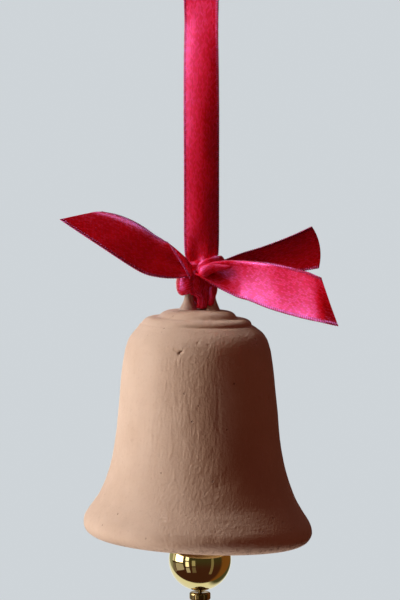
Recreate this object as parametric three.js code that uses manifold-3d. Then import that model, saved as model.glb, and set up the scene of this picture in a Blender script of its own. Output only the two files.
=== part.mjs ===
// Terracotta bell ornament on a satin ribbon: a clay bell with a small clay eye, a doubled ribbon knotted
// through the eye, and a metal ball clapper on a linked wire inside.
// Millimetres, +Z up. Heights below are measured from a plane just above the lip's lower edge; the whole
// ornament is then lowered so that the origin is the inside of the ribbon's top bend, where a hook bears on it.
import * as THREE from 'three';
import { mergeVertices } from 'three/addons/utils/BufferGeometryUtils.js';
import Module from 'manifold-3d';

const wasm = await Module();
wasm.setup();

const HOOK_HEIGHT = 154; // inside top of the ribbon loop
const GAP = 0.3; // clearance between pieces that touch
const TURN = 2 * Math.PI;

// Clay
const MOUTH_RADIUS = 30.2;
const LIP_DROP = 1.3; // the lip's lower edge lies this far below the plane that heights start from
const WALL = 3.3;
const BELL_SIDES = 48;
const INNER_TOP = 55.6; // clay ceiling inside the bell
const EYE_CENTRE_HEIGHT = 63.2; // centre of the clay eye's round top
const EYE_OUTER_RADIUS = 4.2;
const EYE_HOLE_RADIUS = 2.4;
const EYE_HOLE_DROP = 1.3; // the hole is oblong by this much
const EYE_DEPTH = 4.5;

// Ribbon
const RIBBON_WIDTH = 10;
const RIBBON_THICKNESS = 0.35;
const HOOK_RADIUS = 3; // hook, nail or twig that the loop suits
const BEND_LEG_END = 147.5; // where the bend over the hook meets the two plies
const TWIST_HEIGHT = 94; // where the doubled ribbon twists
const TWIST_OFFSET = 0.9; // half the space between the plies there
const BIGHT_WIDTH = 2.8; // bunched ribbon through the clay eye
const BIGHT_THICKNESS = 1.7;
const BIGHT_LOW = 61;
const BIGHT_TOP = 68;
const BIGHT_HEADROOM = 0.7; // from the bight up to the top of the eye's hole
const KNOT_TOP = 73.4;
const KNOT_HALF_SIZE = [4.6, 4.2, 2.6];
const WRAP_RADIUS = 5.55; // turn of ribbon round the top of the eye, measured to its middle
const WRAP_THICKNESS = 1.7;
const WRAP_WIDTH = 4.6;
const WRAP_HEIGHT = 66.4;

// Clapper
const STAPLE_EYE_RADIUS = 2;
const STAPLE_WIRE = 0.5;
const STAPLE_CENTRE_HEIGHT = 52.6;
const SHANK_RADIUS = 0.8;
const SHANK_TOP = 57.9;
const LINK_RADIUS = 2.2;
const LINK_WIRE = 0.45;
const PIN_EYE_RADIUS = 1.6;
const PIN_WIRE = 0.45;
const LINK_PLAY = 0.2; // slack between two linked wires
const BALL_RADIUS = 8.4;
const BALL_HEIGHT = -7.05;
const COLLAR_RADIUS = 2.85;
const COLLAR_END_RADIUS = 2.4;
const COLLAR_HALF_HEIGHT = 1.1;
const END_BEAD_RADIUS = 2.5;
const BEAD_END_RADIUS = 1.2; // flat rim round a round bead's bore
const PIN_HEAD_RADIUS = 1.3;

// Heights that follow from the clapper's chain of wires
const STAPLE_BOTTOM = STAPLE_CENTRE_HEIGHT - STAPLE_EYE_RADIUS;
const LINK_CENTRE = STAPLE_BOTTOM + STAPLE_WIRE + LINK_WIRE + LINK_PLAY - LINK_RADIUS;
const LINK_BOTTOM = LINK_CENTRE - LINK_RADIUS;
const PIN_EYE_CENTRE = LINK_BOTTOM + LINK_WIRE + PIN_WIRE + LINK_PLAY - PIN_EYE_RADIUS;
const COLLAR_HEIGHT = BALL_HEIGHT - BALL_RADIUS - GAP - COLLAR_HALF_HEIGHT;
const END_BEAD_HEIGHT = COLLAR_HEIGHT - COLLAR_HALF_HEIGHT - GAP - END_BEAD_RADIUS;
const PIN_END = END_BEAD_HEIGHT - END_BEAD_RADIUS - GAP;

const clay = new THREE.MeshStandardMaterial({ name: 'terracotta', color: 0xc49a80, roughness: 0.95 });
const satin = new THREE.MeshStandardMaterial({ name: 'satin', color: 0xa8123a, roughness: 0.45 });
const brass = new THREE.MeshStandardMaterial({
  name: 'polished_brass', color: 0xcfb567, roughness: 0.12, metalness: 1,
});
const wireBrass = new THREE.MeshStandardMaterial({
  name: 'brass_wire', color: 0xb79a55, roughness: 0.3, metalness: 1,
});

// ---- helpers ----

function toManifold(geometry) {
  const bare = geometry.index ? geometry.clone() : geometry;
  bare.deleteAttribute('normal');
  bare.deleteAttribute('uv');
  const merged = mergeVertices(bare, 1e-4);
  return new wasm.Manifold(new wasm.Mesh({
    numProp: 3,
    vertProperties: new Float32Array(merged.attributes.position.array),
    triVerts: new Uint32Array(merged.index.array),
  }));
}

function fromManifold(solid) {
  const mesh = solid.getMesh();
  const geometry = new THREE.BufferGeometry();
  geometry.setAttribute('position', new THREE.BufferAttribute(mesh.vertProperties, 3));
  geometry.setIndex(new THREE.BufferAttribute(mesh.triVerts, 1));
  geometry.computeVertexNormals();
  return geometry;
}

function piece(name, geometry, material) {
  const mesh = new THREE.Mesh(geometry, material);
  mesh.name = name;
  return mesh;
}

// Turns a lathe or cylinder, which three.js makes about Y, so that its axis is Z.
function upright(geometry, height = 0) {
  return geometry.rotateX(Math.PI / 2).translate(0, 0, height);
}

function rod(radius, low, high, sides = 16) {
  return upright(new THREE.CylinderGeometry(radius, radius, high - low, sides), (low + high) / 2);
}

// Ring of round wire; its hole runs along Y, or along X for a ring seen edge-on from the front.
function wireRing(radius, wire, height, holeAlongX = false) {
  const ring = new THREE.TorusGeometry(radius, wire, 10, 28).rotateX(Math.PI / 2);
  return (holeAlongX ? ring.rotateZ(Math.PI / 2) : ring).translate(0, 0, height);
}

// Flat outline in the plane of height and one horizontal direction, given a thickness.
function slab(shape, thickness, bevel = 0) {
  const geometry = new THREE.ExtrudeGeometry(shape, {
    depth: thickness - 2 * bevel,
    curveSegments: 12,
    bevelEnabled: bevel > 0,
    bevelThickness: bevel,
    bevelSize: bevel,
    bevelOffset: -bevel,
    bevelSegments: 2,
  });
  return geometry.translate(0, 0, bevel - thickness / 2).rotateX(Math.PI / 2);
}

// ---- clay bell ----

// Half section of the bell, from the top of the crown down the outside and up the inside.
function bellSection() {
  const v = (r, z) => new THREE.Vector2(r, z);
  const crown = [v(0, 59.6), v(5, 59.5), v(7.8, 59.3), v(9.6, 58.5), v(10.4, 57.6)];
  const ring = [v(10.4, 57.6), v(12.2, 57.5), v(13.7, 56.9), v(14.3, 55.8)];
  const body = [
    v(14.3, 55.8), v(16.1, 54.5), v(17.9, 52.4), v(19, 49.6), v(20.2, 42), v(20.9, 34), v(21.7, 25),
    v(23.3, 17), v(25.7, 10.5), v(27.6, 7.4), v(MOUTH_RADIUS - 1.1, 5.1),
  ];
  const lip = [
    v(MOUTH_RADIUS - 1.1, 5.1), v(MOUTH_RADIUS, 2.4), v(MOUTH_RADIUS - 0.1, 0.9), v(28.9, -0.8),
    v(27.6, -LIP_DROP), v(26.3, -0.6), v(25.9, 2.2),
  ];
  const inside = [
    v(25.9, 2.2), v(22.6, 10.2), v(23.3 - WALL, 17), v(21.7 - WALL, 25), v(20.9 - WALL, 34),
    v(20.2 - WALL, 42), v(15.3, 48.6), v(12.2, 52.8), v(7.5, 55.1), v(0, INNER_TOP),
  ];
  const points = [];
  const steps = [[crown, 6], [ring, 5], [body, 16], [lip, 8], [inside, 14]];
  for (const [corners, count] of steps) {
    const stretch = new THREE.SplineCurve(corners).getPoints(count);
    points.push(...(points.length ? stretch.slice(1) : stretch));
  }
  return points.reverse();
}

// Arched eye on the crown, wider at its foot, with an oblong hole from front to back.
function crownEye() {
  const foot = 58.2;
  const z = EYE_CENTRE_HEIGHT;
  const shape = new THREE.Shape();
  shape.moveTo(-6, foot);
  shape.lineTo(-5.4, 60);
  shape.quadraticCurveTo(-4.3, 60.8, -EYE_OUTER_RADIUS, z);
  shape.absarc(0, z, EYE_OUTER_RADIUS, Math.PI, 0, true);
  shape.quadraticCurveTo(4.3, 60.8, 5.4, 60);
  shape.lineTo(6, foot);
  const hole = new THREE.Path();
  hole.absarc(0, z, EYE_HOLE_RADIUS, 0, Math.PI, false);
  hole.absarc(0, z - EYE_HOLE_DROP, EYE_HOLE_RADIUS, Math.PI, TURN, false);
  shape.holes.push(hole);
  return slab(shape, EYE_DEPTH, 0.6);
}

function bellShell() {
  const shell = toManifold(upright(new THREE.LatheGeometry(bellSection(), BELL_SIDES)));
  const eye = toManifold(crownEye());
  const shankHole = toManifold(rod(SHANK_RADIUS + GAP, INNER_TOP - 2, SHANK_TOP + GAP));
  return piece('bell_shell', fromManifold(shell.add(eye).subtract(shankHole)), clay);
}

// ---- clapper ----

function staple() {
  const eye = toManifold(wireRing(STAPLE_EYE_RADIUS, STAPLE_WIRE, STAPLE_CENTRE_HEIGHT));
  const shank = toManifold(rod(SHANK_RADIUS, STAPLE_CENTRE_HEIGHT + STAPLE_EYE_RADIUS, SHANK_TOP));
  return piece('clapper_staple', fromManifold(eye.add(shank)), wireBrass);
}

function link() {
  return piece('clapper_link', wireRing(LINK_RADIUS, LINK_WIRE, LINK_CENTRE, true), wireBrass);
}

function headPin() {
  const eye = toManifold(wireRing(PIN_EYE_RADIUS, PIN_WIRE, PIN_EYE_CENTRE));
  const shank = toManifold(rod(PIN_WIRE, PIN_END - 0.2, PIN_EYE_CENTRE - PIN_EYE_RADIUS));
  const head = toManifold(rod(PIN_HEAD_RADIUS, PIN_END - 0.6, PIN_END));
  return piece('clapper_wire', fromManifold(eye.add(shank).add(head)), wireBrass);
}

// Bead threaded on the pin: a bulging barrel with flat ends and a bore, as one closed profile turned about Z.
function bead(name, radius, endRadius, halfHeight, height, sides) {
  const bore = PIN_WIRE + GAP;
  const reach = Math.acos(endRadius / radius);
  const steps = Math.round(sides / 2);
  const profile = [new THREE.Vector2(bore, -halfHeight)];
  for (let i = 0; i <= steps; i += 1) {
    const angle = reach * ((2 * i) / steps - 1);
    const z = halfHeight * Math.sin(angle) / Math.sin(reach);
    profile.push(new THREE.Vector2(radius * Math.cos(angle), z));
  }
  profile.push(new THREE.Vector2(bore, halfHeight), profile[0].clone());
  return piece(name, upright(new THREE.LatheGeometry(profile, sides), height), brass);
}

// ---- ribbon ----

// A stretch of ribbon given by its path from the side: [distance behind the front, height] pairs.
function ribbonStretch(name, path, width = RIBBON_WIDTH) {
  const half = RIBBON_THICKNESS / 2;
  const shape = new THREE.Shape();
  const offset = (side) => path.map((p, i) => {
    const before = path[Math.max(i - 1, 0)];
    const after = path[Math.min(i + 1, path.length - 1)];
    const along = new THREE.Vector2().subVectors(after, before).normalize();
    return new THREE.Vector2(p.x - along.y * side, p.y + along.x * side);
  });
  shape.setFromPoints([...offset(half), ...offset(-half).reverse()]);
  return piece(name, slab(shape, width).rotateZ(Math.PI / 2), satin);
}

function hangerBend() {
  const radius = HOOK_RADIUS + RIBBON_THICKNESS / 2;
  const centre = HOOK_HEIGHT - HOOK_RADIUS;
  const arc = [];
  const steps = 12;
  for (let i = 0; i <= steps; i += 1) {
    const angle = Math.PI * (1 - i / steps);
    arc.push(new THREE.Vector2(radius * Math.cos(angle), centre + radius * Math.sin(angle)));
  }
  const legs = [-radius, radius].map((y) => new THREE.Vector2(y, BEND_LEG_END));
  return ribbonStretch('ribbon_bend', [legs[0], ...arc, legs[1]]);
}

// The two plies from the bend down to the twist, then from the twist down to the knot.
function hangerPlies(stretchName, high, highOffset, low, lowOffset) {
  return [['front', -1], ['back', 1]].map(([side, sign]) => ribbonStretch(
    `${stretchName}_${side}_ply`,
    [new THREE.Vector2(sign * highOffset, high), new THREE.Vector2(sign * lowOffset, low)],
  ));
}

// Bunched ribbon that passes through the clay eye and rises on both of its faces.
function crownBight() {
  const inner = EYE_DEPTH / 2 + GAP;
  const outer = inner + BIGHT_THICKNESS;
  const holeTop = EYE_CENTRE_HEIGHT + EYE_HOLE_RADIUS - BIGHT_HEADROOM;
  const shape = new THREE.Shape();
  shape.moveTo(-outer, BIGHT_TOP);
  shape.lineTo(-outer, EYE_CENTRE_HEIGHT);
  shape.quadraticCurveTo(-outer + 0.4, BIGHT_LOW, -1.4, BIGHT_LOW);
  shape.lineTo(1.4, BIGHT_LOW);
  shape.quadraticCurveTo(outer - 0.4, BIGHT_LOW, outer, EYE_CENTRE_HEIGHT);
  shape.lineTo(outer, BIGHT_TOP);
  shape.lineTo(inner, BIGHT_TOP);
  shape.lineTo(inner, holeTop);
  shape.lineTo(-inner, holeTop);
  shape.lineTo(-inner, BIGHT_TOP);
  return piece('crown_bight', slab(shape, BIGHT_WIDTH).rotateZ(Math.PI / 2), satin);
}

function knotCore() {
  const geometry = new THREE.SphereGeometry(1, 16, 10).scale(...KNOT_HALF_SIZE);
  return piece('knot_core', geometry.translate(0, 0, KNOT_TOP - KNOT_HALF_SIZE[2]), satin);
}

// The turn of ribbon tied round the bight and the top of the clay eye.
function knotWrap() {
  const geometry = new THREE.TorusGeometry(WRAP_RADIUS, WRAP_THICKNESS / 2, 10, 28);
  geometry.scale(1, 1, WRAP_WIDTH / WRAP_THICKNESS);
  return piece('knot_wrap', geometry.translate(0, 0, WRAP_HEIGHT), satin);
}

// A cut end of the ribbon: a flat outline in the knot's own plane, placed at the knot and turned about Z.
function tail(name, corners, depth, turnDegrees) {
  const shape = new THREE.Shape(corners.map(([x, z]) => new THREE.Vector2(x, z)));
  const mesh = piece(name, slab(shape, RIBBON_THICKNESS), satin);
  mesh.position.set(0, depth, 0);
  mesh.rotation.z = THREE.MathUtils.degToRad(turnDegrees);
  return mesh;
}

// ---- assembly ----

const ornament = new THREE.Group();
ornament.add(
  bellShell(),
  staple(),
  link(),
  headPin(),
  bead('clapper_ball', BALL_RADIUS, BEAD_END_RADIUS, BALL_RADIUS - 0.1, BALL_HEIGHT, 30),
  bead('collar_bead', COLLAR_RADIUS, COLLAR_END_RADIUS, COLLAR_HALF_HEIGHT, COLLAR_HEIGHT, 20),
  bead('end_bead', END_BEAD_RADIUS, BEAD_END_RADIUS, END_BEAD_RADIUS - 0.3, END_BEAD_HEIGHT, 20),
  hangerBend(),
  ...hangerPlies('upper', BEND_LEG_END - GAP, HOOK_RADIUS, TWIST_HEIGHT + GAP / 2, TWIST_OFFSET),
  ...hangerPlies('lower', TWIST_HEIGHT - GAP / 2, TWIST_OFFSET, KNOT_TOP + GAP, 0.5),
  crownBight(),
  knotCore(),
  knotWrap(),
  tail('tail_left', [[-5.2, 70.2], [-5, 72.6], [-13.2, 79.6], [-25, 85.6], [-37.6, 83.4], [-13.4, 70.4]], -1.6, 12),
  tail('tail_right_front', [[1.2, 70.2], [7, 73], [22.9, 72], [35.5, 69.5], [39.6, 57.2], [11.6, 63.6]], -4.9, -27),
  tail('tail_right_back', [[5.2, 70], [5.2, 72.2], [16.8, 76.2], [29.6, 81.6], [31.6, 70.4], [17, 69.4]], 1.2, 3),
  tail('tail_back', [[6.8, 65.2], [6.8, 72.6], [16, 69.5], [13.5, 60.5]], 0, 90),
);
ornament.position.z = -HOOK_HEIGHT;
const root = new THREE.Group();
root.add(ornament);

export default root;
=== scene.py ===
"""Looks of a terracotta bell ornament on a satin ribbon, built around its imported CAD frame.

Metres, +Z up, the front is -Y. Shapes are designed in millimetres: x to the right, y away from the front
and h above the plane of the bell's lip; place() turns such a point into the frame's metres.
"""

import math
import random

import bpy
import numpy as np
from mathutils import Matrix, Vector, noise

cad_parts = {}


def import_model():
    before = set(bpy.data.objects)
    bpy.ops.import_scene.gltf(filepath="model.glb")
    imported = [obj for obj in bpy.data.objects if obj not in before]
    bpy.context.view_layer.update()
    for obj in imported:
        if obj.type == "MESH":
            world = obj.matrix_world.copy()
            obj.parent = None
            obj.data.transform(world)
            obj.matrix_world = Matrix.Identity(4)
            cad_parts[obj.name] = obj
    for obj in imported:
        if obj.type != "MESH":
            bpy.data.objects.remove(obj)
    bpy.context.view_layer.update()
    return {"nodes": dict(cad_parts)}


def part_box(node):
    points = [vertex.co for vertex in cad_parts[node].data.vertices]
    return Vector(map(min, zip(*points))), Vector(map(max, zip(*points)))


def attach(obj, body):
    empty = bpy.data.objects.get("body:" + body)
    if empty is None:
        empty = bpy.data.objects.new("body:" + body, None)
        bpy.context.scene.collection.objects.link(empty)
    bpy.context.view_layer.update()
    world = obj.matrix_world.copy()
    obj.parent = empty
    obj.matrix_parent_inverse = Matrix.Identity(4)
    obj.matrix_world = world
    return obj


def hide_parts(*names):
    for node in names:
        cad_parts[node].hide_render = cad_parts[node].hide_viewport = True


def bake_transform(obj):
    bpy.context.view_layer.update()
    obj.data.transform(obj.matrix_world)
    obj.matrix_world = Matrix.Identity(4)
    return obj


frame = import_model()

MM = 0.001
LIP_DROP = 1.3        # the lip's lower edge lies this far below the plane that heights start from
LIP_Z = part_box("bell_shell")[0][2] + LIP_DROP * MM
HOOK_HEIGHT = -LIP_Z / MM
HOOK_RADIUS = 3.0
BALL_LOW, BALL_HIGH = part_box("clapper_ball")
BALL_RADIUS = (BALL_HIGH[0] - BALL_LOW[0]) / 2 / MM
BALL_HEIGHT = ((BALL_LOW[2] + BALL_HIGH[2]) / 2 - LIP_Z) / MM
TAU = 2 * math.pi
CAMERA_DISTANCE = 768.0
CAMERA_HEIGHT = 121.6
CAMERA_PITCH = 4.43


def place(points):
    """Design points (x, y, h) in millimetres, as an array of frame points in metres."""
    points = np.asarray(points, float)
    return points * MM + np.array([0.0, 0.0, LIP_Z])


def seen(line):
    """Points (x, y, h) at depth y that line up, for the camera, with (x, h) in the plane y = 0."""
    p = np.asarray(line, float)
    nearer = (CAMERA_DISTANCE + p[:, 1]) / CAMERA_DISTANCE
    return np.stack([p[:, 0] * nearer, p[:, 1], CAMERA_HEIGHT + (p[:, 2] - CAMERA_HEIGHT) * nearer], axis=1)


def smooth(x, low, high):
    """0 below low, 1 above high and an S curve between."""
    t = np.clip((np.asarray(x, float) - low) / (high - low), 0.0, 1.0)
    return t * t * (3 - 2 * t)


def curve_through(points, count):
    """Points evenly spaced along a Catmull-Rom curve through the given ones."""
    p = np.asarray(points, float)
    ends = np.vstack([2 * p[0] - p[1], p, 2 * p[-1] - p[-2]])
    fine = []
    for a, b, c, d in zip(ends, ends[1:], ends[2:], ends[3:]):
        for t in np.linspace(0, 1, 24, endpoint=False):
            fine.append(0.5 * (2 * b + (c - a) * t + (2 * a - 5 * b + 4 * c - d) * t * t
                               + (3 * b - a - 3 * c + d) * t ** 3))
    fine = np.array(fine + [p[-1]])
    length = np.concatenate([[0], np.cumsum(np.linalg.norm(np.diff(fine, axis=0), axis=1))])
    at = np.linspace(0, length[-1], count)
    return np.stack([np.interp(at, length, fine[:, k]) for k in range(p.shape[1])], axis=1)


def unit(v):
    return v / np.maximum(np.linalg.norm(v, axis=-1, keepdims=True), 1e-12)


def wave_noise(points, size, seed=0):
    """Smooth noise from -1 to 1 at each point, with lumps of about the given size."""
    shift = Vector((seed * 17.3, seed * 5.7, seed * 9.1))
    return np.array([noise.noise(Vector(p) / size + shift) for p in points])


def make_object(name, points, faces, material, body, uv=None):
    mesh = bpy.data.meshes.new(name)
    mesh.from_pydata([tuple(p) for p in points], [], [tuple(f) for f in faces])
    mesh.materials.append(material)
    mesh.update()
    if uv is not None:
        layer = mesh.uv_layers.new(name="weave")
        loops = np.zeros(len(mesh.loops), int)
        mesh.loops.foreach_get("vertex_index", loops)
        layer.data.foreach_set("uv", np.asarray(uv)[loops].ravel())
    mesh.polygons.foreach_set("use_smooth", [True] * len(mesh.polygons))
    piece = bpy.data.objects.new(name, mesh)
    bpy.context.collection.objects.link(piece)
    if body:
        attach(piece, body)
    return piece


# ---- materials ----


class Nodes:
    """A short way to write the node tree of a material or of the world."""

    def __init__(self, owner):
        owner.use_nodes = True
        self.owner = owner
        self.tree = owner.node_tree
        self.shader = self.tree.nodes.get("Principled BSDF") or self.tree.nodes.get("Background")

    def add(self, kind, inputs=None, **settings):
        node = self.tree.nodes.new(kind)
        for key, value in settings.items():
            setattr(node, key, value)
        for key, value in (inputs or {}).items():
            self.put(node.inputs[key], value)
        return node

    def put(self, socket, value):
        if isinstance(value, bpy.types.NodeSocket):
            self.tree.links.new(value, socket)
        else:
            socket.default_value = value

    def set(self, **values):
        for key, value in values.items():
            self.put(self.shader.inputs[key.replace("_", " ")], value)

    def noise(self, vector, scale, detail=3.0, roughness=0.55, distortion=0.0):
        node = self.add("ShaderNodeTexNoise", {"Vector": vector, "Scale": scale, "Detail": detail,
                                               "Roughness": roughness, "Distortion": distortion})
        return node.outputs["Fac"]

    def stretch(self, vector, scale):
        return self.add("ShaderNodeMapping", {"Vector": vector, "Scale": scale}).outputs["Vector"]

    def math(self, kind, a, b=0.0):
        node = self.add("ShaderNodeMath", operation=kind)
        self.put(node.inputs[0], a)
        self.put(node.inputs[1], b)
        return node.outputs[0]

    def step(self, value, low, high, to_low=0.0, to_high=1.0):
        node = self.add("ShaderNodeMapRange", {"Value": value, "From Min": low, "From Max": high,
                                               "To Min": to_low, "To Max": to_high},
                        interpolation_type="SMOOTHSTEP")
        return node.outputs["Result"]

    def mix(self, factor, a, b, blend="MIX"):
        node = self.add("ShaderNodeMix", data_type="RGBA", blend_type=blend)
        self.put(node.inputs["Factor"], factor)
        self.put(node.inputs[6], a)
        self.put(node.inputs[7], b)
        return node.outputs[2]

    def bump(self, height, distance, strength=1.0, under=None):
        node = self.add("ShaderNodeBump", {"Height": height, "Distance": distance, "Strength": strength})
        if under is not None:
            self.put(node.inputs["Normal"], under)
        return node.outputs["Normal"]


def clay_material():
    """Unglazed pinkish clay: faint blotches, fine grain, brush marks along the body and small pores, which
    are darkened with painted shade.
    """
    n = Nodes(bpy.data.materials.new("terracotta"))
    spot = n.add("ShaderNodeTexCoord").outputs["Object"]
    height = n.add("ShaderNodeSeparateXYZ", {"Vector": spot}).outputs["Z"]
    blotch = n.noise(spot, 55.0, 4.0, 0.6)
    grain = n.noise(spot, 1300.0, 1.5, 0.6)
    wrinkles = n.noise(n.stretch(spot, (1500.0, 1500.0, 420.0)), 1.0, 1.0, 0.6, 0.5)
    strokes = n.noise(n.stretch(spot, (1100.0, 1100.0, 105.0)), 1.0, 1.5, 0.5, 0.3)
    rings = n.noise(n.stretch(spot, (70.0, 70.0, 1100.0)), 1.0, 3.0, 0.6, 0.3)
    pores = n.add("ShaderNodeTexVoronoi", {"Vector": spot, "Scale": 420.0, "Randomness": 1.0})
    pore = n.step(pores.outputs["Distance"], 0.05, 0.16, 1.0, 0.0)
    body = n.math("MULTIPLY", n.step(height, LIP_Z + 0.006, LIP_Z + 0.016),
                  n.step(height, LIP_Z + 0.044, LIP_Z + 0.052, 1.0, 0.0))
    rest = n.math("SUBTRACT", 1.0, body)
    rare = n.step(n.noise(spot, 170.0, 2.0), 0.58, 0.66)
    often = n.math("MULTIPLY", rest, n.step(n.noise(spot, 260.0, 2.0), 0.5, 0.6, 0.0, 0.7))
    pore = n.math("MULTIPLY", pore, n.math("MAXIMUM", rare, often))

    colour = n.mix(n.step(blotch, 0.3, 0.7), (0.565, 0.43, 0.345, 1), (0.635, 0.505, 0.42, 1))
    colour = n.mix(n.math("MULTIPLY", n.step(strokes, 0.4, 0.75), 0.14), colour, (0.70, 0.54, 0.44, 1))
    colour = n.mix(n.math("MULTIPLY", n.step(grain, 0.55, 0.8), 0.16), colour, (0.40, 0.25, 0.18, 1))
    # Pores are darkened in colour as well as sunk by the bump below: painted shade inside the pits.
    colour = n.mix(n.math("MULTIPLY", pore, 0.7), colour, (0.16, 0.07, 0.045, 1))
    lip = n.step(height, LIP_Z - 0.0012, LIP_Z + 0.0012, 1.0, 0.0)
    scuffs = n.math("MULTIPLY", lip, n.step(n.noise(spot, 800.0, 4.0, 0.75), 0.48, 0.62))
    colour = n.mix(n.math("MULTIPLY", scuffs, 0.6), colour, (0.15, 0.07, 0.045, 1))

    faint_rings = n.math("MULTIPLY", n.math("MULTIPLY", rings, 0.5), rest)
    marks = n.math("ADD", n.math("MULTIPLY", strokes, body), faint_rings)
    normal = n.bump(marks, 0.00009, 0.9)
    normal = n.bump(wrinkles, 0.00009, 0.9, normal)
    normal = n.bump(grain, 0.00014, 0.9, normal)
    normal = n.bump(n.math("SUBTRACT", 1.0, pore), 0.0003, 0.9, normal)
    n.set(Base_Color=colour, Roughness=n.step(grain, 0.2, 0.9, 0.82, 0.98), Normal=normal)
    n.set(Specular_IOR_Level=0.2)
    return n.owner


RIBBON_WIDTH = 10.0
YARN_PITCH = 0.36
FLOAT_LENGTH = 0.8
FLOAT_SHIFT = 0.5         # each yarn's floats start this part of a float after its neighbour's
EDGE_PITCH = 0.58         # chosen spacing of the picks that turn round the ribbon's edges
EDGE_BAND = 0.75


def satin_material():
    """Crimson satin. The weave's coordinates are millimetres along and across the ribbon: long floats lie
    in staggered rows, each with its own tone and gloss and with painted shade in the gaps between them,
    and the edges are a row of small round turns, lightened pink with a painted highlight."""
    n = Nodes(bpy.data.materials.new("satin_ribbon"))
    weave = n.add("ShaderNodeUVMap", uv_map="weave").outputs["UV"]
    split = n.add("ShaderNodeSeparateXYZ", {"Vector": weave})
    along, across = split.outputs["X"], split.outputs["Y"]
    row = n.math("DIVIDE", across, YARN_PITCH)
    row_number = n.math("FLOOR", row)
    start_of_row = n.math("MULTIPLY", row_number, FLOAT_SHIFT)
    place_in_row = n.math("ADD", n.math("DIVIDE", along, FLOAT_LENGTH), start_of_row)
    cell = n.add("ShaderNodeCombineXYZ", {"X": n.math("FLOOR", place_in_row), "Y": row_number})
    chance = n.add("ShaderNodeTexWhiteNoise", {"Vector": cell.outputs["Vector"]},
                   noise_dimensions="2D").outputs["Value"]
    yarn = n.math("ABSOLUTE", n.math("SINE", n.math("MULTIPLY", row, math.pi)))
    bow = n.math("ABSOLUTE", n.math("SINE", n.math("MULTIPLY", place_in_row, math.pi)))
    floats = n.math("MULTIPLY", n.math("POWER", yarn, 0.6), n.math("POWER", bow, 0.5))
    glints = n.noise(n.stretch(weave, (1.9, 3.6, 1.0)), 1.0, 3.0, 0.7, 0.5)
    ripples = n.noise(n.stretch(weave, (0.16, 0.4, 1.0)), 1.0, 2.0, 0.5)

    edge = n.math("MINIMUM", across, n.math("SUBTRACT", RIBBON_WIDTH, across))
    edge = n.step(edge, EDGE_BAND * 0.7, EDGE_BAND, 1.0, 0.0)
    turns = n.math("SINE", n.math("MULTIPLY", along, TAU / EDGE_PITCH))
    dots = n.math("MULTIPLY", edge, n.step(turns, -0.2, 0.7))

    colour = n.mix(chance, (0.70, 0.0012, 0.0035, 1), (0.86, 0.0025, 0.008, 1))
    # Darker where the floats part: painted shade in the gaps between the floats.
    colour = n.mix(n.step(floats, 0.0, 0.5, 0.35, 0.0), colour, (0.33, 0.0008, 0.003, 1))
    colour = n.mix(n.math("MULTIPLY", edge, 0.75), colour, (0.22, 0.001, 0.004, 1))
    # The edge turns are lightened pink: a painted highlight on them, besides their bump and gloss.
    colour = n.mix(n.math("MULTIPLY", dots, 0.6), colour, (1.0, 0.05, 0.14, 1))
    gloss = n.math("MULTIPLY", n.step(floats, 0.25, 0.95), n.step(glints, 0.35, 0.65, 0.25, 1.0))
    gloss = n.math("MULTIPLY", gloss, n.step(chance, 0.0, 1.0, 0.4, 1.0))
    gloss = n.math("MAXIMUM", gloss, n.math("MULTIPLY", dots, 0.5))
    tint = n.mix(gloss, (0.12, 0.02, 0.12, 1), (0.90, 0.40, 1.25, 1))
    normal = n.bump(ripples, 0.0003, 0.3)
    normal = n.bump(glints, 0.00006, 0.9, normal)
    normal = n.bump(floats, 0.00002, 0.8, normal)
    normal = n.bump(dots, 0.00010, 0.9, normal)
    tangent = n.add("ShaderNodeTangent", direction_type="UV_MAP", uv_map="weave").outputs["Tangent"]
    n.set(Base_Color=colour, Roughness=n.step(chance, 0.0, 1.0, 0.24, 0.34), Normal=normal, Tangent=tangent)
    n.set(Anisotropic=0.35, Anisotropic_Rotation=0.25, IOR=2.1, Specular_IOR_Level=1.0, Specular_Tint=tint)
    n.set(Sheen_Weight=0.05, Sheen_Roughness=0.35, Sheen_Tint=(1.0, 0.25, 0.5, 1.0))
    return n.owner


def brass_material(name, colour, dark, roughness, scratches):
    """Polished yellow metal with faint turning lines and smears."""
    n = Nodes(bpy.data.materials.new(name))
    spot = n.add("ShaderNodeTexCoord").outputs["Object"]
    smear = n.noise(spot, 180.0, 4.0, 0.6)
    lines = n.noise(n.stretch(spot, (30.0, 30.0, 3800.0)), 1.0, 2.0, 0.6)
    n.set(Base_Color=n.mix(n.step(smear, 0.35, 0.75), colour, dark), Metallic=1.0)
    n.set(Roughness=n.step(smear, 0.3, 0.8, roughness, roughness * 2.2 + 0.02))
    n.set(Normal=n.bump(lines, 0.00001 * scratches, 0.5))
    return n.owner


CLAY = clay_material()
SATIN = satin_material()
BRASS = brass_material("polished_brass", (0.88, 0.72, 0.34, 1), (0.82, 0.64, 0.27, 1), 0.035, 0.6)
DARK_BRASS = brass_material("darkened_brass", (0.42, 0.30, 0.13, 1), (0.28, 0.19, 0.08, 1), 0.08, 1.0)
WIRE = brass_material("brass_wire", (0.62, 0.44, 0.17, 1), (0.42, 0.28, 0.10, 1), 0.22, 4.0)


# ---- clay bell ----

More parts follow.
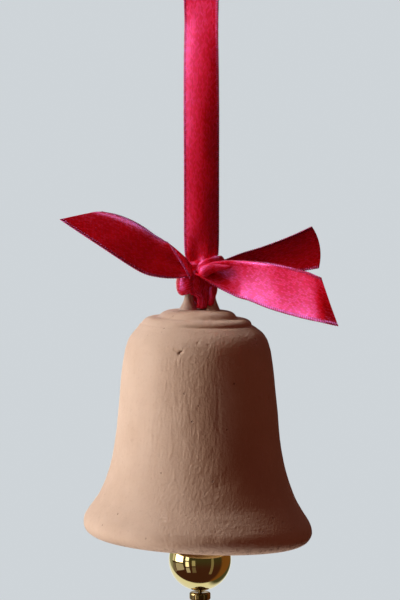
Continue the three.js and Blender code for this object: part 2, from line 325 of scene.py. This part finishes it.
BODY_SHIFT = -0.6     # the hand-made body sits a little to the left of its eye
LIP_TILT = -0.047     # its lip slopes down to the right
CROWN_TILT = -0.025   # and its crown a little too
CROWN_LINE = [(0, 59.6), (5, 59.55), (7.6, 59.35), (8.8, 59.05), (9.8, 58.4), (10.4, 57.6)]
RING_LINE = [(10.4, 57.6), (11.0, 57.45), (12.2, 57.5), (13.4, 57.2), (14.1, 56.6), (14.35, 55.8)]
BODY_LINE = [(14.35, 55.8), (15.2, 55.3), (16.1, 54.5), (17.2, 53.4), (18.2, 51.9), (18.85, 50.2),
             (19.45, 47.6), (20.25, 42), (21.0, 34), (21.8, 25), (23.4, 17), (25.7, 10.6), (27.6, 7.4),
             (29.0, 5.3)]
LIP_LINE = [(29.0, 5.3), (29.85, 3.8), (30.25, 2.4), (30.25, 1.1), (29.75, 0.0), (28.9, -0.8),
            (27.7, -1.28), (26.5, -0.8), (25.9, 0.6), (25.9, 2.2)]
INSIDE_LINE = [(25.9, 2.2), (22.6, 10.2), (20.0, 17), (18.4, 25), (17.6, 34), (16.9, 42), (15.3, 48.6),
               (12.2, 52.8), (7.5, 55.1), (0.01, 55.6)]
SIDES = 320
LIP_OUTSIDE_ROWS = 13    # rows of the lip that still belong to the bell's outside

# Larger pores of the front, as (degrees from the front towards the right, height, radius, depth)
PITS = [(-14.6, 49.6, 0.42, 1.2), (-13.0, 50.1, 0.42, 1.0), (0, 52.3, 0.35, 0.35), (9, 51.7, 0.35, 0.3),
        (-31, 15.6, 0.4, 0.3), (-19, 7.0, 0.45, 0.3), (-24, 6.3, 0.35, 0.25), (26, 47.0, 0.3, 0.2),
        (-22, 50.3, 0.3, 0.2), (-18, 50.6, 0.3, 0.2), (-16, 50.1, 0.3, 0.25)]
SCRATCHES = [
    [(14.6, 40.5), (14.0, 38.6), (15.0, 37.0), (14.2, 35.6), (14.8, 33.2), (13.6, 32.0), (14.6, 30.4),
     (13.8, 29.0)],
    [(13.4, 18.0), (12.2, 17.0), (12.3, 15.8), (13.3, 14.9)],
    [(14.6, 44.0), (13.8, 42.8), (14.4, 41.4)],
]


def profile():
    """The bell's half section from the crown's centre, down the outside, round the lip and up the inside,
    and how many of its rows are outside."""
    stretches = [(CROWN_LINE, 26), (RING_LINE, 24), (BODY_LINE, 176), (LIP_LINE, 28), (INSIDE_LINE, 36)]
    rows = []
    for corners, count in stretches:
        points = curve_through(corners, count)
        rows.append(points if not rows else points[1:])
    return np.vstack(rows), sum(count - 1 for _, count in stretches[:3]) + LIP_OUTSIDE_ROWS


def pit_depth(angle, radius, height, pits):
    """How far the surface is pushed in by round pores and by short scratches."""
    depth = np.zeros_like(height)
    for degrees, at, size, deep in pits:
        across = (angle - math.radians(degrees)) * radius
        away = np.hypot(across * 1.2, height - at) / size
        depth += deep * (1 - smooth(away, 0.25, 1.0)) - 0.05 * np.exp(-((away - 1.3) / 0.3) ** 2)
    for line in SCRATCHES:
        for (a0, h0), (a1, h1) in zip(line, line[1:]):
            for t in np.linspace(0, 1, 6, endpoint=False):
                across = (angle - math.radians(a0 + (a1 - a0) * t)) * radius
                away = np.hypot(across, height - (h0 + (h1 - h0) * t)) / 0.28
                depth = np.maximum(depth, 0.16 * (1 - smooth(away, 0.2, 1.0)))
    return depth


def more_pits(count):
    """Pores all round the rest of the bell."""
    draw = random.Random(7)
    pits = []
    for _ in range(count):
        degrees = draw.uniform(40, 320)
        pits.append((degrees if degrees < 180 else degrees - 360, draw.uniform(4, 54),
                     draw.uniform(0.25, 0.6), draw.uniform(0.12, 0.35)))
    return pits


def bell_points():
    """Points of the thrown bell with its lumps, brush marks, pores and tilts, and its number of rows."""
    line, outside_rows = profile()
    angles = np.linspace(-math.pi, math.pi, SIDES, endpoint=False)
    radius = np.repeat(line[:, 0], SIDES)
    height = np.repeat(line[:, 1], SIDES)
    angle = np.tile(angles, len(line))
    outside = np.repeat(np.arange(len(line)) < outside_rows, SIDES).astype(float)
    round_ = np.stack([radius * np.sin(angle), -radius * np.cos(angle), height], axis=1)

    lumps = (0.16 * wave_noise(round_, 16, 1) + 0.08 * wave_noise(round_, 5, 2)
             + 0.03 * wave_noise(round_, 2, 6))
    strokes = wave_noise(np.stack([radius * angle, radius * 0, height * 0.1], axis=1), 0.75, 3)
    patches = smooth(wave_noise(round_, 9, 4), -0.25, 0.45)
    upright = smooth(height, 6, 16) * (1 - smooth(height, 44, 52))
    throwing = wave_noise(np.stack([radius * angle * 0.1, radius * 0, height], axis=1), 1.1, 5)
    push = lumps * smooth(radius, 1, 8) + outside * smooth(radius, 9, 14) * (
        0.04 * strokes * patches * upright + 0.03 * throwing * (1 - upright))
    push += 0.5 * np.exp(-((height - 55.8) / 0.7) ** 2) * smooth(-np.sin(angle), -0.2, 0.9) * outside
    push -= outside * pit_depth(angle, radius, height, PITS + more_pits(60))
    round_[:, 0] += push * np.sin(angle)
    round_[:, 1] -= push * np.cos(angle)

    round_[:, 2] += CROWN_TILT * round_[:, 0] * smooth(height, 53, 56.5)
    round_[:, 0] += BODY_SHIFT * (1 - smooth(height, 57.5, 60))
    round_[:, 2] += LIP_TILT * round_[:, 0] * (1 - smooth(height, 3, 24))
    return round_, len(line)


def grid_faces(rows, columns, first=0):
    """Quads of a grid that closes on itself from its last column to its first."""
    faces = []
    for i in range(rows - 1):
        for j in range(columns):
            k = (j + 1) % columns
            a = first + i * columns
            faces.append((a + j, a + columns + j, a + columns + k, a + k))
    return faces


def eye_points():
    """The arched clay eye: a flattened roll bent over the hole, with feet that spread over the crown."""
    path = curve_through([(-3.2, 57.6), (-3.05, 59.6), (-2.95, 61.8), (-2.8, 63.7), (-2.2, 65.6),
                          (0.1, 66.8), (2.4, 65.6), (2.95, 63.7), (3.05, 61.8), (3.15, 59.6),
                          (3.3, 57.6)], 73)
    along = unit(np.gradient(path, axis=0))
    spread = 1 - smooth(path[:, 1], 58.4, 64.0)
    points = []
    for i, (centre, tangent, wide) in enumerate(zip(path, along, spread)):
        out = np.array([-tangent[1], tangent[0]])
        left = 1.0 if centre[0] < 0 else 0.72
        half_x = 1.1 + 1.6 * wide ** 1.5 * left
        half_y = 2.0 + 1.9 * wide ** 2
        for t in np.linspace(0, TAU, 32, endpoint=False):
            across = half_x * math.copysign(abs(math.cos(t)) ** 0.85, math.cos(t))
            deep = half_y * math.copysign(abs(math.sin(t)) ** 0.85, math.sin(t))
            wobble = 1 + 0.06 * noise.noise(Vector((i * 0.13, math.cos(t), math.sin(t))))
            spot = centre + out * across * wobble
            points.append((spot[0], deep * wobble, spot[1]))
    return np.array(points), len(path)


def bell():
    points, rows = bell_points()
    faces = grid_faces(rows, SIDES)
    faces.append(tuple(range(SIDES)))
    faces.append(tuple(reversed(range((rows - 1) * SIDES, rows * SIDES))))
    piece = make_object("clay_bell", place(points), faces, CLAY, "bell")

    roll, roll_rows = eye_points()
    sides = len(roll) // roll_rows
    roll_faces = grid_faces(roll_rows, sides)
    roll_faces.append(tuple(range(sides)))
    roll_faces.append(tuple(reversed(range((roll_rows - 1) * sides, roll_rows * sides))))
    eye = make_object("clay_eye_roll", place(roll), roll_faces, CLAY, None)
    for thing in (piece, eye):
        face_out(thing)
    union = piece.modifiers.new("eye", "BOOLEAN")
    union.operation = "UNION"
    union.solver = "EXACT"
    union.object = eye
    bpy.context.view_layer.objects.active = piece
    bpy.ops.object.modifier_apply(modifier=union.name)
    bpy.data.objects.remove(eye)
    piece.data.polygons.foreach_set("use_smooth", [True] * len(piece.data.polygons))
    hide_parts("bell_shell")
    return piece


def face_out(piece):
    """Turns a closed mesh's faces outwards."""
    bpy.ops.object.select_all(action="DESELECT")
    piece.select_set(True)
    bpy.context.view_layer.objects.active = piece
    bpy.ops.object.mode_set(mode="EDIT")
    bpy.ops.mesh.select_all(action="SELECT")
    bpy.ops.mesh.normals_make_consistent(inside=False)
    bpy.ops.object.mode_set(mode="OBJECT")


# ---- ribbon ----

RIBBON_THICKNESS = 0.22
COLUMNS = 33
CURL_WIDTH = 3.0          # how much of a ribbon's first edge may bend away
ROLL_TURN = 2.65          # a rolled strip turns this far, in radians, and its edge stands off a little


def ribbon(name, body, edge_a, edge_b, cup=0.0, roll=(0.0, 0.0), roll_radius=0.8, roll_reach=1.0,
           pleats=(0.0, 0.0), reach=12.0, waves=2.5, phase=1.3, ripple=0.25, curl=0.0, end_bow=0.0,
           seed=1):
    """A ribbon between two edge curves, in millimetres.

    cup bows it along its normal. roll turns the strip next to its first edge over, that many millimetres
    wide at its start and, from roll_reach of its length on, at its end. pleats is how deep its folds are
    at its start and its end, reach how far they run. curl bends its first edge back and end_bow rounds
    its far end. Returns the piece and its flat length and area in metres: the ends are cut aslant where
    the two edges differ in length."""
    a = np.asarray(edge_a, float)
    b = np.asarray(edge_b, float)
    longest = max(np.linalg.norm(np.diff(e, axis=0), axis=1).sum() for e in (a, b))
    rows = max(12, int(longest / EDGE_PITCH * 5))
    a = curve_through(a, rows)
    b = curve_through(b, rows)
    across = np.sin(np.linspace(-math.pi / 2, math.pi / 2, COLUMNS)) * 0.35
    across += np.linspace(-1, 1, COLUMNS) * 0.65
    middle = (a + b) / 2
    length = np.concatenate([[0], np.cumsum(np.linalg.norm(np.diff(middle, axis=0), axis=1))])
    along = unit(np.gradient(middle, axis=0))
    sideways = unit(b - a)
    normal = unit(np.cross(along, sideways))
    run = length / length[-1]
    rolled = roll[0] + (roll[1] - roll[0]) * smooth(run, 0.0, roll_reach)
    folded = (pleats[0] * (1 - smooth(length, 0, reach))
              + pleats[1] * (1 - smooth(length[-1] - length, 0, reach)))
    surface = np.zeros((rows, COLUMNS, 3))
    for j, v in enumerate(across):
        from_edge = (v + 1) / 2 * RIBBON_WIDTH
        flat = np.clip((from_edge - rolled) / (RIBBON_WIDTH - rolled), 0, 1)
        over = np.maximum(rolled - from_edge, 0)
        turn = np.minimum(over / roll_radius, ROLL_TURN)
        over -= turn * roll_radius
        w = 2 * flat - 1
        lump = np.array([noise.noise(Vector((s * 0.09, v * 0.7, seed * 3.1))) for s in length])
        lift = cup * (1 - w * w) * smooth(run, 0, 0.25) + ripple * lump
        lift += folded * np.sin(w * math.pi * waves / 2 + phase)
        lift -= curl * max(0.0, 1 - from_edge / CURL_WIDTH) ** 2
        lift += roll_radius * (1 - np.cos(turn)) + over * math.sin(ROLL_TURN)
        shift = -roll_radius * np.sin(turn) - over * math.cos(ROLL_TURN)
        surface[:, j] = a + (b - a) * flat[:, None] + sideways * shift[:, None] + normal * lift[:, None]
        surface[:, j] += along * (end_bow * (1 - v * v) * smooth(run, 0.75, 1.0))[:, None]
    piece = finish_ribbon(name, body, surface, across, length)
    edge_lengths = [np.linalg.norm(np.diff(e, axis=0), axis=1).sum() * MM for e in (a, b)]
    return piece, max(edge_lengths), RIBBON_WIDTH * MM * sum(edge_lengths) / 2


def finish_ribbon(name, body, surface, across, length):
    """Gives a ribbon surface its thickness, its ribbed edges and its weave's coordinates."""
    rows, columns = surface.shape[:2]
    du = np.gradient(surface, axis=0)
    dv = np.gradient(surface, axis=1)
    normal = unit(np.cross(du, dv))
    outward = unit(dv)
    edge = smooth(np.abs(across), 0.91, 0.96)
    thick = RIBBON_THICKNESS / 2 * (1 + 0.8 * edge)
    tick = np.sin(TAU * length / EDGE_PITCH)
    sign = np.sign(across)
    side = outward * (edge * sign)[None, :, None] * (0.09 * tick)[:, None, None]
    lift = (0.06 * edge)[None, :] * np.cos(TAU * length / EDGE_PITCH)[:, None]
    top = surface + side + normal * (thick[None, :] + lift)[:, :, None]
    low = surface + side - normal * (thick[None, :] - lift)[:, :, None]
    section = np.concatenate([top, low[:, ::-1]], axis=1)
    v = (across + 1) / 2 * RIBBON_WIDTH
    uv = np.stack(np.broadcast_arrays(length[:, None], np.concatenate([v, v[::-1]])[None, :]), axis=2)
    ring = 2 * columns
    faces = grid_faces(rows, ring)
    for start, flip in ((0, True), ((rows - 1) * ring, False)):
        for j in range(columns - 1):
            quad = (start + j, start + j + 1, start + ring - 2 - j, start + ring - 1 - j)
            faces.append(quad[::-1] if flip else quad)
    piece = make_object(name, place(section.reshape(-1, 3)), faces, SATIN, body, uv.reshape(-1, 2))
    face_out(piece)
    return piece


HANGER_HALF = 4.8
HANGER_TURN = 27.0
HANGER_SHIFT = 0.4


def hanger_spot(x, height, sign):
    """A point of one ply of the doubled ribbon, x from its middle line. The loop is turned to the left over
    most of its height and comes straight again over the hook."""
    hook, knot_top = HOOK_HEIGHT - HOOK_RADIUS, 74.0
    t = min(max((height - knot_top) / (hook - knot_top), 0.0), 1.0)
    half_gap = 0.55 + 2.6 * t ** 5
    level = 1 - smooth(height, 141, 150.5)
    turn = math.radians(HANGER_TURN) * smooth(height, 88, 146) * level
    y = sign * half_gap
    return x * math.cos(turn) + HANGER_SHIFT * level, y - x * math.sin(turn), height


def hanger_over_hook():
    """The bend that bears on the hook, with the first stretch of both plies."""
    seam, radius = 145.0, 3.2
    centre = HOOK_HEIGHT - HOOK_RADIUS
    rise = np.linspace(seam, centre - 0.6, 9)
    arc = np.linspace(0.1, math.pi - 0.1, 12)
    edges = []
    for x in (-HANGER_HALF, HANGER_HALF):
        line = [hanger_spot(x, h, -1) for h in rise]
        line += [(x, -radius * math.cos(t), centre + radius * math.sin(t)) for t in arc]
        line += [hanger_spot(x, h, 1) for h in rise[::-1]]
        edges.append(line)
    piece, length, area = ribbon("hanger_over_hook", None, *edges, ripple=0.0)
    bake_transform(piece)
    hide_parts("ribbon_bend")
    return piece


def hanger_ply(name, sign, node_names):
    """One ply from the bend down to the knot, where it gathers to a point."""
    heights = [145, 135, 124, 112, 100, 90, 82, 78.5, 76.0, 74.0, 72.6, 71.4, 70.2]
    gather = [1, 1, 0.99, 0.97, 0.955, 0.95, 0.95, 0.945, 0.93, 0.89, 0.76, 0.52, 0.30]
    edges = []
    for side in (-1, 1):
        line = []
        for h, g in zip(heights, gather):
            x, y, _ = hanger_spot(side * HANGER_HALF * g, h, sign)
            line.append((x - 1.0 * (1 - smooth(h, 70, 74)), y + (1 - g) * sign * 1.6, h))
        edges.append(line)
    piece, length, area = ribbon(name, None, *edges, cup=1.1, pleats=(0, 0.5), reach=11.0, waves=3.0,
                                 phase=-0.5, ripple=0.3, seed=2 + sign)
    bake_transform(piece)
    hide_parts(*node_names)
    return piece


def tail(name, node, edge_a, edge_b, **shape):
    piece, length, area = ribbon(name, "knotted_ribbon", seen(edge_a), seen(edge_b), **shape)
    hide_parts(node)
    return piece


def tails():
    """The four cut ends. Each edge is given from the knot outwards."""
    tail("tail_end_left", "tail_left",
         [(-1.8, -4.9, 69.6), (-3.8, -4.7, 72.4), (-6.6, -4.4, 75.1), (-9.7, -4.1, 77.8),
          (-13.7, -4.0, 81.0), (-17.6, -3.6, 83.4), (-21.6, -3.4, 85.0), (-25.5, -3.4, 85.8)],
         [(-2.4, -4.9, 68.5), (-6.6, -5.9, 67.9), (-10.9, -6.8, 68.1), (-14.9, -7.4, 69.1),
          (-19.6, -7.7, 71.8), (-27.5, -7.4, 77.0), (-37.0, -6.2, 83.4)],
         cup=0.15, roll=(3.8, 0.0), roll_radius=0.5, roll_reach=0.5, pleats=(0.5, 0), waves=2.0, phase=0.6,
         ripple=0.2, curl=1.3, seed=11)
    tail("tail_end_right_front", "tail_right_front",
         [(-0.4, -5.2, 69.6), (0.6, -5.8, 70.4), (2.2, -6.4, 71.0), (4.7, -7.1, 71.6), (8.5, -8.4, 71.8),
          (13.9, -10.8, 71.6), (20.7, -14.6, 70.8), (27.6, -19.0, 69.7), (32.0, -20.6, 68.0)],
         [(-0.9, -5.0, 68.9), (0.6, -5.8, 67.8), (5.1, -7.2, 65.1), (9.9, -9.4, 62.8), (13.0, -11.6, 61.9),
          (18.8, -15.8, 59.6), (26.4, -21.0, 57.4), (32.5, -24.2, 56.1), (36.5, -24.2, 55.3)],
         cup=0.8, roll=(2.4, 0.0), roll_radius=0.7, pleats=(0.9, 0), reach=11.0, waves=2.6, phase=2.6,
         ripple=0.8, seed=12)
    tail("tail_end_right_back", "tail_right_back",
         [(1.0, 1.2, 70.8), (6.3, 1.8, 72.7), (11.0, 2.2, 74.5), (16.8, 2.6, 76.3), (23.6, 3.0, 78.9),
          (29.5, 3.4, 81.6)],
         [(1.0, 0.8, 69.6), (8.0, 1.0, 69.2), (16.0, 1.3, 69.3), (25.7, 1.8, 69.7), (31.4, 2.2, 70.5)],
         cup=0.8, pleats=(0.5, 0), end_bow=1.3, seed=13)
    tail("tail_end_back", "tail_back",
         [(-0.6, 3.4, 71.0), (-0.8, 8.0, 72.4), (-1.2, 12.0, 71.6), (-1.5, 16.0, 69.4)],
         [(0.4, 3.6, 69.6), (0.8, 7.0, 65.0), (1.0, 10.5, 62.6), (1.5, 13.6, 60.8)],
         cup=0.6, pleats=(0.5, 0), seed=14)


def gathered(name, path, wide_towards, folds, fold_depth, node, sides=64, steps=120):
    """Bunched ribbon: a closed roll along a path of (x, y, h, width, depth), pleated along its length. Its
    width lies towards one direction and its depth across that."""
    path = curve_through(path, steps)
    centre = path[:, :3]
    half_w, half_d = path[:, 3] / 2, path[:, 4] / 2
    along = unit(np.gradient(centre, axis=0))
    other = unit(np.cross(along, np.array(wide_towards, float)))
    right = unit(np.cross(other, along))
    run = np.linspace(0, 1, steps)
    rows = []
    for i in range(steps):
        end = math.sqrt(max(0.0, 1 - abs(2 * run[i] - 1) ** 8))
        ring = []
        for t in np.linspace(0, TAU, sides, endpoint=False):
            pleat = 1 + fold_depth * (math.sin(folds * t + 2.0 * math.sin(3 * run[i]))
                                      + 0.5 * math.sin((folds * 2 + 1) * t + 5 * run[i]))
            pleat += 0.06 * noise.noise(Vector(centre[i] * 0.5) + Vector((math.cos(t), math.sin(t), 0)))
            ring.append(centre[i] + (right[i] * math.cos(t) * half_w[i]
                                     + other[i] * math.sin(t) * half_d[i]) * pleat * end)
        rows.append(ring)
    section = np.array(rows)
    length = np.concatenate([[0], np.cumsum(np.linalg.norm(np.diff(centre, axis=0), axis=1))])
    around = RIBBON_WIDTH * (0.5 - 0.42 * np.cos(np.linspace(0, TAU, sides, endpoint=False)))
    uv = np.stack(np.broadcast_arrays(length[:, None], around[None, :]), axis=2)
    faces = grid_faces(steps, sides)
    faces.append(tuple(range(sides)))
    faces.append(tuple(reversed(range((steps - 1) * sides, steps * sides))))
    piece = make_object(name, place(section.reshape(-1, 3)), faces, SATIN, "knotted_ribbon",
                        uv.reshape(-1, 2))
    face_out(piece)
    if node:
        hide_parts(node)
    return piece


def knot():
    """The bunched ribbon that runs through the clay eye, and the turns tied round it."""
    upright = (0, 0, 1)
    gathered("bight_through_eye",
             [(0.5, -2.2, 70.4, 7.0, 2.0), (0.3, -3.0, 69.0, 8.4, 2.4), (0.3, -3.5, 67.2, 8.8, 2.6),
              (0.4, -3.7, 65.6, 8.4, 2.4), (0.5, -3.7, 64.4, 7.0, 2.2), (0.6, -3.7, 63.5, 3.6, 2.0),
              (0.7, -3.5, 62.2, 2.9, 1.8), (0.6, -2.5, 60.8, 2.8, 1.6), (0.4, 0, 60.6, 3.2, 1.5),
              (0.2, 2.6, 61.2, 3.8, 1.6), (0, 3.9, 63.4, 5.6, 1.8), (0, 4.0, 66.4, 6.4, 2.2),
              (0, 3.0, 69.4, 5.0, 1.8)],
             (1, 0.38, 0), 7, 0.045, "crown_bight")
    gathered("knot_heart",
             [(-3.7, 0.2, 70.2, 3.0, 4.4), (-1.6, -1.2, 70.2, 5.0, 5.4), (1.0, -1.2, 70.2, 5.2, 5.4),
              (3.8, 0.4, 70.4, 3.0, 4.2)], upright, 6, 0.06, "knot_core")
    gathered("knot_turn_left",
             [(3.2, 4.0, 67.0, 2.6, 1.2), (0.4, 4.7, 67.0, 3.4, 1.6), (-2.8, 4.0, 66.8, 4.0, 1.9),
              (-5.3, 1.4, 66.3, 4.2, 1.6), (-5.4, -1.3, 66.1, 4.6, 1.7), (-4.6, -3.8, 66.1, 4.9, 2.3),
              (-3.0, -4.8, 66.6, 4.4, 2.0), (-1.4, -4.6, 67.4, 2.6, 1.2)], upright, 2, 0.03, "knot_wrap")
    gathered("knot_turn_right",
             [(-0.9, -3.9, 69.9, 1.6, 0.9), (0.6, -4.4, 71.3, 2.4, 1.3), (2.8, -4.2, 72.3, 2.5, 1.4),
              (5.0, -2.8, 72.6, 2.6, 1.5), (5.7, -0.4, 72.4, 2.6, 1.5), (4.6, 2.2, 71.8, 2.4, 1.4),
              (2.0, 3.2, 71.2, 1.6, 1.0)], upright, 4, 0.05, None)
    gathered("tail_root_roll",
             [(0.0, -6.4, 69.0, 1.9, 1.6), (0.9, -6.9, 69.9, 3.0, 2.4), (2.6, -7.2, 70.8, 2.8, 2.3),
              (5.0, -7.6, 71.2, 1.9, 1.6), (8.2, -8.4, 71.4, 0.7, 0.8)], upright, 1, 0.03, None)
    gathered("eye_fold_right",
             [(3.4, -2.9, 66.5, 2.6, 1.8), (3.3, -3.4, 64.9, 2.4, 1.8), (3.1, -3.5, 63.2, 2.0, 1.6),
              (2.9, -3.0, 61.7, 1.7, 1.4), (2.6, -1.4, 61.0, 1.4, 1.2)], (1, 0.3, 0), 3, 0.05, None)


# ---- clapper ----


def turned(name, outline, material, body, node, sides=128):
    """A bead turned about Z from a closed outline of (radius, height) points."""
    points = [(r * math.sin(t), -r * math.cos(t), h) for r, h in outline
              for t in np.linspace(0, TAU, sides, endpoint=False)]
    faces = grid_faces(len(outline), sides)
    last = (len(outline) - 1) * sides
    faces += [(last + j, j, (j + 1) % sides, last + (j + 1) % sides) for j in range(sides)]
    piece = make_object(name, place(points), faces, material, body)
    face_out(piece)
    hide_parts(node)
    return piece


def bead_outline(radius, end_radius, half_height, height, bore=0.6, steps=72, power=2.0, groove=None):
    """A bulging bead's outline: an arc for a power of 2, nearer to a drum for a higher one. It has softened
    rims at its bore and an optional turned groove."""
    reach = (1 - (end_radius / radius) ** power) ** (1 / power)
    outline = [(bore, height - half_height * 0.97)]
    for t in np.linspace(-math.asin(reach), math.asin(reach), steps):
        rise = math.sin(t)
        r = radius * (1 - abs(rise) ** power) ** (1 / power)
        if groove and abs(t - groove) < 0.03:
            r -= 0.03 * (1 - abs(t - groove) / 0.03)
        outline.append((r, height + half_height * rise / reach))
    outline.append((bore, height + half_height * 0.97))
    return outline


def clapper():
    turned("ball", bead_outline(BALL_RADIUS, 1.1, BALL_RADIUS - 0.08, BALL_HEIGHT, steps=110, groove=-1.08),
           BRASS, "clapper", "clapper_ball")
    for name, node, power in (("collar", "collar_bead", 5.0), ("end", "end_bead", 2.0)):
        low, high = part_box(node)
        radius = (high[0] - low[0]) / 2 / MM
        half = (high[2] - low[2]) / 2 / MM
        height = ((high[2] + low[2]) / 2 - LIP_Z) / MM
        inner = 0.82 if name == "collar" else 0.5
        turned(f"bead_{name}", bead_outline(radius, radius * inner, half, height, power=power),
               DARK_BRASS, "clapper", node)
    for node in ("clapper_staple", "clapper_link", "clapper_wire"):
        wire = frame["nodes"][node]
        for slot in wire.material_slots:
            slot.material = WIRE


# ---- camera, light and floor ----

LIGHT_DISTANCE = 1.3


def camera():
    """Looks down a little from the front, far enough away for a long lens."""
    data = bpy.data.cameras.new("camera")
    data.lens = 175.0
    data.sensor_width = 36.0
    thing = bpy.data.objects.new("camera", data)
    thing.location = place([(0.0, -CAMERA_DISTANCE, CAMERA_HEIGHT)])[0]
    thing.rotation_euler = (math.radians(90 - CAMERA_PITCH), 0, 0)
    bpy.context.collection.objects.link(thing)
    bpy.context.scene.camera = thing


def pane(name, azimuth, elevation, size, power, colour, lit, mirrored):
    """One soft rectangular light. Azimuth turns from the camera's side towards the left."""
    middle = Vector((0, 0, LIP_Z + 0.03))
    a, e = math.radians(azimuth), math.radians(elevation)
    away = Vector((-math.sin(a) * math.cos(e), -math.cos(a) * math.cos(e), math.sin(e)))
    data = bpy.data.lights.new(name, "AREA")
    data.shape = "RECTANGLE"
    data.size, data.size_y = size
    data.energy = power
    data.color = colour
    thing = bpy.data.objects.new(name, data)
    thing.location = middle + away * LIGHT_DISTANCE
    thing.rotation_euler = away.to_track_quat("Z", "Y").to_euler()
    thing.visible_camera = False
    thing.visible_diffuse = lit
    thing.visible_glossy = mirrored
    bpy.context.collection.objects.link(thing)


def window(name, azimuths, elevations, strengths, colours=((1.0, 0.98, 0.95),), lit=True, mirrored=True):
    """A window of panes with bars between them, filling a range of directions. Each row of panes, from the
    lowest, has its own strength per square metre and each column its own colour. It may be left out of the
    diffuse light or out of the reflections."""
    bar = 0.84
    rows, columns = len(strengths), len(colours)
    wide = (azimuths[1] - azimuths[0]) / columns
    tall = (elevations[1] - elevations[0]) / rows
    size = [2 * LIGHT_DISTANCE * math.tan(math.radians(angle) / 2) * bar for angle in (wide, tall)]
    for i in range(columns):
        for j in range(rows):
            pane(f"{name}_{i}_{j}", azimuths[0] + wide * (i + 0.5), elevations[0] + tall * (j + 0.5), size,
                 strengths[j] * size[0] * size[1], colours[i], lit, mirrored)


def lights():
    """Daylight from the left, a little of it bounced up from below, and a dim light from behind. For the
    shiny pieces to mirror there are a wide window on the left with dimmer ones beside it, a faint strip on
    the right and a patch of ceiling behind."""
    window("daylight", (70, 95), (-32, 58), (1.5, 16.0, 32.0, 54.0),
           ((1.0, 0.76, 0.52), (0.81, 0.94, 1.04)), mirrored=False)
    window("bounce_below", (50, 104), (-75, -34), (15.0,), ((1.0, 0.92, 0.82),), mirrored=False)
    window("window_left", (63, 105), (-32, 58), (1.1, 14.0, 27.0, 38.0), lit=False)
    window("window_behind", (106, 122), (-32, 58), (0.4, 2.0, 3.0, 4.0), lit=False)
    window("window_near", (41, 56), (-42, 18), (1.2, 4.5, 6.0), lit=False)
    window("window_far", (16, 31), (-44, 4), (0.3, 1.0), ((1.0, 0.97, 0.72),), lit=False)
    window("strip_right", (-53, -41), (-50, 12), (0.5,), ((1.0, 0.95, 0.62),), lit=False)
    window("back_light", (168, 192), (-20, 40), (1.5,))
    window("overhead", (145, 215), (62, 84), (22.0,), lit=False)


def world():
    """A pale background for the camera, dim warm surroundings for the object's light, and for its
    reflections a dark room with a pale sweep behind and below it and brown furniture at the right."""
    n = Nodes(bpy.data.worlds.new("world"))
    bpy.context.scene.world = n.owner
    path = n.add("ShaderNodeLightPath")
    split = n.add("ShaderNodeSeparateXYZ", {"Vector": n.add("ShaderNodeTexCoord").outputs["Generated"]})
    x, y, z = split.outputs
    room = n.mix(n.step(z, -0.5, 0.1), (0.050, 0.018, 0.012, 1), (0.045, 0.040, 0.020, 1))
    right = n.math("MULTIPLY", n.step(y, -0.15, 0.1), n.step(x, 0.25, 0.5))
    room = n.mix(right, room, (0.17, 0.070, 0.018, 1))
    left = n.math("MULTIPLY", n.step(y, 0.45, 0.6), n.step(x, 0.0, -0.2))
    room = n.mix(left, room, (0.30, 0.32, 0.26, 1))
    sweep = n.mix(n.step(x, 0.25, 0.5), (0.80, 0.84, 0.82, 1), (0.06, 0.06, 0.03, 1))
    room = n.mix(n.step(n.math("SUBTRACT", y, z), 0.95, 1.03), room, sweep)
    colour = n.mix(path.outputs["Is Glossy Ray"], (0.100, 0.027, 0.015, 1), room)
    colour = n.mix(path.outputs["Is Camera Ray"], colour, (0.62, 0.66, 0.69, 1))
    n.set(Color=colour)


def floor():
    """A pale floor that the camera sees from above. It takes no part in the light or the reflections."""
    n = Nodes(bpy.data.materials.new("floor"))
    spot = n.add("ShaderNodeTexCoord").outputs["Object"]
    pale = n.mix(n.noise(spot, 3.0), (0.66, 0.68, 0.70, 1), (0.70, 0.72, 0.73, 1))
    n.set(Base_Color=pale, Roughness=0.9, Emission_Color=pale, Emission_Strength=0.55)
    radius, drop, sides = 1.6, -0.5, 96
    points = [(radius * math.cos(t), radius * math.sin(t), drop)
              for t in np.linspace(0, TAU, sides, endpoint=False)]
    thing = make_object("floor", points, [tuple(range(sides))], n.owner, None)
    thing.visible_diffuse = False
    thing.visible_glossy = False
    thing.visible_shadow = False


bpy.context.scene.view_settings.view_transform = "Standard"
camera()
lights()
world()
floor()
bell()
hanger_over_hook()
hanger_ply("hanger_front", -1, ("upper_front_ply", "lower_front_ply"))
hanger_ply("hanger_back", 1, ("upper_back_ply", "lower_back_ply"))
tails()
knot()
clapper()
